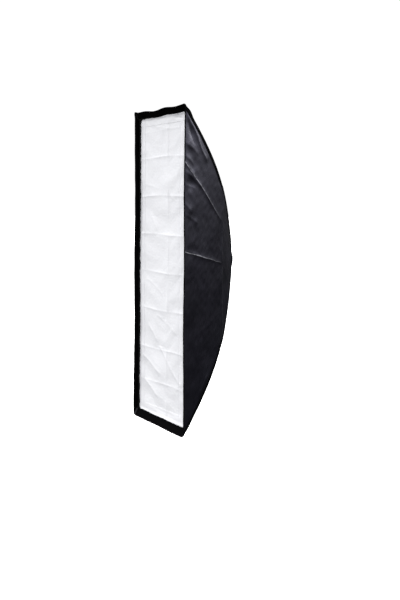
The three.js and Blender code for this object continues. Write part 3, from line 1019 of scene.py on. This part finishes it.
def doubled(points):
    """The same grid with a point between each two, on a smooth curve through its neighbours."""
    for _ in range(2):
        padded = np.concatenate([2 * points[:1] - points[1:2], points, 2 * points[-1:] - points[-2:-1]])
        middle = (9 * (padded[1:-2] + padded[2:-1]) - padded[:-3] - padded[3:]) / 16
        woven = np.empty((2 * len(points) - 1, *points.shape[1:]))
        woven[0::2] = points
        woven[1::2] = middle
        points = woven.swapaxes(0, 1)
    return points


# Creases from folding the cloth in its bag: their heights, and how far across the upright one is.
PACKING_CREASES = [0.693, 0.556, 0.358, 0.161, -0.032, -0.224, -0.426, -0.598]
UPRIGHT_CREASE = 0.038
CREASE_WIDTH = 7 * MM
CREASE_HEIGHT = 2.2 * MM
UPRIGHT_HEIGHT = 3 * MM
CLOTH_FOLDS = [
    ((-0.1, 0.575), (-0.1, 0.345), 1.2, 5),
    ((0.02, 0.5), (0.034, 0.38), 1.5, 8),
    ((0.03, 0.4), (0.085, 0.325), 1.5, 10),
    ((-0.09, 0.285), (-0.03, 0.17), 1.4, 9),
    ((-0.1, -0.3), (-0.02, -0.395), 2.8, 9),
    ((-0.02, -0.4), (0.13, -0.585), 3, 8),
    ((-0.145, -0.47), (0.01, -0.555), 2.8, 10),
    ((-0.125, -0.595), (-0.015, -0.675), 2.8, 9),
    ((-0.14, 0.43), (-0.01, 0.389), 1.2, 9),
    ((0.07, 0.752), (0.145, 0.736), -3.6, 5),
    ((-0.06, 0.722), (0.06, 0.69), 1.4, 12),
    ((-0.12, -0.06), (0.02, -0.15), 1.3, 11),
    ((-0.05, -0.24), (0.11, -0.33), 1.4, 12),
]


def packing_relief(x, z):
    """The sharp creases of a cloth that was folded in its bag, and its stray folds."""
    relief = np.zeros(np.broadcast(x, z).shape)
    for index, height in enumerate(PACKING_CREASES):
        strength = 0.5 if index == 0 else 1
        level = height + 0.003 * np.sin(x * 19 + index)
        across = 0.7 + 0.3 * np.sin(x * 31 + 2 * index)
        relief = relief + CREASE_HEIGHT * strength * across * np.exp(-np.abs(z - level) / CREASE_WIDTH)
    upright = UPRIGHT_CREASE + 0.004 * np.sin(z * 5 + 1)
    fade = 0.6 + 0.4 * np.sin(z * 23)
    relief = relief + UPRIGHT_HEIGHT * fade * np.exp(-np.abs(x - upright) / CREASE_WIDTH)
    return relief + creases(x, z, CLOTH_FOLDS)


CLOTH_COLUMNS = 51
CLOTH_ROWS = 241
CLOTH_THICKNESS = 0.5 * MM
CLOTH_INSET = (9 * MM, 1.5 * MM)
HEM_WIDTH = 36 * MM
HEM_GROOVE = 4 * MM
HEM_ROWS = (2.5 * MM, HEM_WIDTH - 1.5 * MM)
THREAD_LIFT = 0.4 * MM
FRAME_STEPS = (70, 320)
SIDE_SHARE = 0.91
CAP_SHARE = 0.985
RIM_LINE = 24 * MM
CURL = 5 * MM
CURL_WIDTH = 12 * MM


def flat_cloth(half_x, half_z, front):
    """A slack sheet across the front, as rows of points from the bottom up."""
    columns = np.linspace(-half_x, half_x, CLOTH_COLUMNS)
    x, z = np.meshgrid(columns, np.linspace(-half_z, half_z, CLOTH_ROWS))
    near_edge = inset(x, z, half_x, half_z)
    slack = 1 * MM * waves(x, z, 5, 0.2) + 0.3 * MM * waves(x, z, 6, 0.08)
    slant = 0.8 * MM * np.sin((z + 0.8 * x) * math.tau / 0.14 + 1.4 * np.sin(z * 9))
    lower = 0.25 + 0.75 * smoothstep(0, -0.45, z)
    stand = (slack + slant * lower) * smoothstep(0, 0.03, near_edge)
    return np.stack([x, front - stand, z], axis=-1)


def make_diffuser(pile):
    """The white front cloth with its hem and creases, sewn into a frame of hook tape."""
    low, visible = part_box("diffuser_cloth")
    _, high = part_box("diffuser_border")
    half_x, half_z = high.x - CLOTH_INSET[0], high.z - CLOTH_INSET[1]
    smooth = flat_cloth(half_x, half_z, low.y + 0.9 * MM)
    points = doubled(settled(smooth, slack=0.0006, limit=1.5 * MM))
    x, z = points[..., 0], points[..., 2]
    near_edge = inset(x, z, half_x, half_z)
    points[..., 1] -= packing_relief(x, z) * smoothstep(0, 0.025, near_edge)
    hem = inset(x, z, visible.x, visible.z)
    points[..., 1] -= 0.9 * MM * (1 - smoothstep(HEM_WIDTH, HEM_WIDTH + 1.2 * MM, hem))
    from_seam = visible.x - np.abs(x) - HEM_WIDTH
    points[..., 1] += 1.1 * MM * np.exp(-((from_seam / HEM_GROOVE) ** 2))
    points = curled(points, high)
    cloth = grid_piece("front_cloth", points)
    nylon = white_nylon("white_nylon")
    solid = {"node": "diffuser_cloth", "thick": CLOTH_THICKNESS, "offset": 0}
    dress(cloth, "diffuser_fabric", nylon, body="front_diffuser", **solid)
    sewn_on = [make_diffuser_frame(visible, high, low.y, pile), make_hem_stitches(points, visible)]


def frame_line(half_x, half_z):
    """A closed rectangle of points in the XZ plane, counter-clockwise from the bottom right."""
    up = np.linspace(-half_z, half_z, FRAME_STEPS[1])[:-1]
    over = np.linspace(half_x, -half_x, FRAME_STEPS[0])[:-1]
    x = np.concatenate([np.full(len(up), half_x), over, np.full(len(up), -half_x), -over])
    z = np.concatenate([up, np.full(len(over), half_z), -up, np.full(len(over), -half_z)])
    return x, z


def drawn_in(x, z, outer):
    """A line of the frame's sides, moved inwards where the shell behind the rim bows in."""
    left, right = (PANELS[name].rim_bow(LOOP_DEPTHS[0], z / outer.z) for name in ("left", "right"))
    on_side = np.abs(x) > SIDE_SHARE * outer.x
    return x - np.sign(x) * on_side * np.where(x > 0, right, left)


def curled(points, outer):
    """The top and bottom edges of the diffuser, pushed forward and out over the lip's slope, with
    the waves of the rim."""
    points = points.copy()
    x, z = points[..., 0], points[..., 2]
    bottom, top = (PANELS[name].rim_bow(RIM_LINE, x / outer.x) for name in ("bottom", "top"))
    turned = smoothstep(outer.z - CURL_WIDTH, outer.z, np.abs(z))
    points[..., 1] -= CURL * turned
    points[..., 2] += np.sign(z) * turned * (CURL - np.where(z > 0, top, bottom))
    return points


def make_diffuser_frame(inner, outer, front, pile):
    """The border of hook tape in front of the cloth's edge, with an uneven inner edge."""
    out_x, out_z = frame_line(outer.x - 1.2 * MM, outer.z - 1.2 * MM)
    out_x = drawn_in(out_x, out_z, outer)
    in_x, in_z = frame_line(inner.x, inner.z)
    uneven = 1.8 * MM * waves(in_x, in_z, 71, 0.09) + 1.2 * MM * waves(in_x, in_z, 72, 0.025)
    from_corner = inner.x - np.abs(in_x) + inner.z - np.abs(in_z)
    rounding = 0.35 * np.maximum(0, 12 * MM - from_corner)
    on_side = np.abs(in_x) > SIDE_SHARE * outer.x
    on_cap = np.abs(in_z) > CAP_SHARE * outer.z
    widening = (2.2 * MM + 1.8 * MM * in_x / inner.x) * on_cap
    in_x = drawn_in(in_x, in_z, outer) + np.sign(in_x) * (uneven * on_side - rounding)
    in_z = in_z + np.sign(in_z) * (0.3 * uneven * on_cap + widening - rounding)
    share = np.linspace(0, 1, 7)[:, None]
    x = out_x * (1 - share) + in_x * share
    z = out_z * (1 - share) + in_z * share
    crown = 0.7 * MM * np.sin(share * math.pi) + 0.25 * MM * waves(x, z, 73, 0.03)
    y = front - 0.4 * MM - crown
    points = curled(np.stack([x, y, z], axis=-1), outer)
    piece = grid_piece("hook_frame", points, flip=True, wrap_columns=True)
    border = {"node": "diffuser_border", "thick": 0.9 * MM}
    return dress(piece, "hook_tape", pile, body="front_diffuser", **border)


def make_hem_stitches(points, visible):
    """Two rows of white stitches round the hem of the front cloth."""
    rows = []
    for reach in HEM_ROWS:
        for sign in (-1, 1):
            column = np.abs(points[0, :, 0] - sign * (visible.x - reach)).argmin()
            row = np.abs(points[:, 0, 2] - sign * (visible.z - reach)).argmin()
            for path in (points[:, column], points[row]):
                seen = inset(path[:, 0], path[:, 2], visible.x, visible.z) > 0
                rows.append(front_row(path[seen], THREAD_LIFT))
    white_thread = thread("white_thread", (0.78, 0.78, 0.8))
    return stitches("hem_stitches", rows, "diffuser_fabric", white_thread, "front_diffuser")


BAFFLE_CREASES = (-0.21, 0, 0.21)
BAFFLE_CREASE_HEIGHT = 1.6 * MM


def make_baffle(black_thread):
    """The inner baffle: a thin white cloth hung by its corners, with a narrow sewn hem."""
    low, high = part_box("inner_baffle")
    middle = (low.y + high.y) / 2
    x, z = np.meshgrid(np.linspace(-1, 1, 49), np.linspace(-1, 1, 141))
    pull_x = high.x * (1 - 0.022 * (1 - z**2))
    pull_z = high.z * (1 - 0.012 * (1 - x**2))
    slack = 2.2 * MM * waves(x * high.x, z * high.z, 91, 0.3)
    points = np.stack([x * pull_x, middle - slack * (1 - x**4) * (1 - z**4), z * pull_z], axis=-1)
    points = doubled(settled(points, slack=0.006, limit=8 * MM))
    across = points[..., 0] / high.x
    folds = BAFFLE_CREASE_HEIGHT * np.exp(-np.abs(across - 0.02) / 0.05)
    for height in BAFFLE_CREASES:
        folds += BAFFLE_CREASE_HEIGHT * np.exp(-np.abs(points[..., 2] - height) / 0.01)
    points[..., 1] -= folds * (1 - across**4)
    cloth = grid_piece("baffle_cloth", points)
    nylon = white_nylon("baffle_nylon")
    dress(cloth, "baffle_fabric", nylon, node="inner_baffle", thick=CLOTH_THICKNESS, offset=0)
    hem_lines = (points[3], points[-4], points[:, 3], points[:, -4])
    rows = [front_row(line, THREAD_LIFT) for line in hem_lines]
    sewn = stitches("baffle_stitches", rows, "baffle_fabric", black_thread)


# ---- hard parts

SHARP_ANGLE = math.radians(35)


def make_hard_finishes():
    """Materials for the CAD nodes that stay as they are."""
    finishes = {
        "speed_ring": cast_aluminium(),
        "bayonet_insert": plated_steel("bayonet_steel", 0.62, 0.2, 0.38),
        "rod_socket": plated_steel("socket_steel", 0.6, 0.22, 0.4),
        ("rod_cap", "lock_knob"): moulded_plastic(),
        ("ring_washer", "lock_washer"): plated_steel("washer_steel", 0.7, 0.15, 0.3),
        "ring_screw": plated_steel("blackened_steel", 0.06, 0.3, 0.5),
        "rod_": glass_fibre(),
    }
    for name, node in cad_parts.items():
        if node.hide_render:
            continue
        start = next(start for start in finishes if name.startswith(start))
        node.data.materials.clear()
        node.data.materials.append(finishes[start])
        node.data.set_sharp_from_angle(angle=SHARP_ANGLE)


make_camera()
make_light()
make_floor()
lining = silver_lining()
binding = woven_tape("binding_tape")
pile = pile_tape()
elastic = elastic_webbing()
black_thread = thread("black_thread", (0.03, 0.03, 0.032))
make_shell(lining)
for corner in CORNERS:
    make_seam(corner, binding, black_thread)
make_bindings(binding, black_thread)
make_loop_tapes(pile)
for number, corner in enumerate(CORNERS):
    make_pocket(corner, binding, number)
    make_strap(corner, elastic, black_thread)
make_skirt(satin_nylon("satin_nylon_rear", ("X", "Z")), binding)
make_diffuser(pile)
make_baffle(black_thread)
make_hard_finishes()
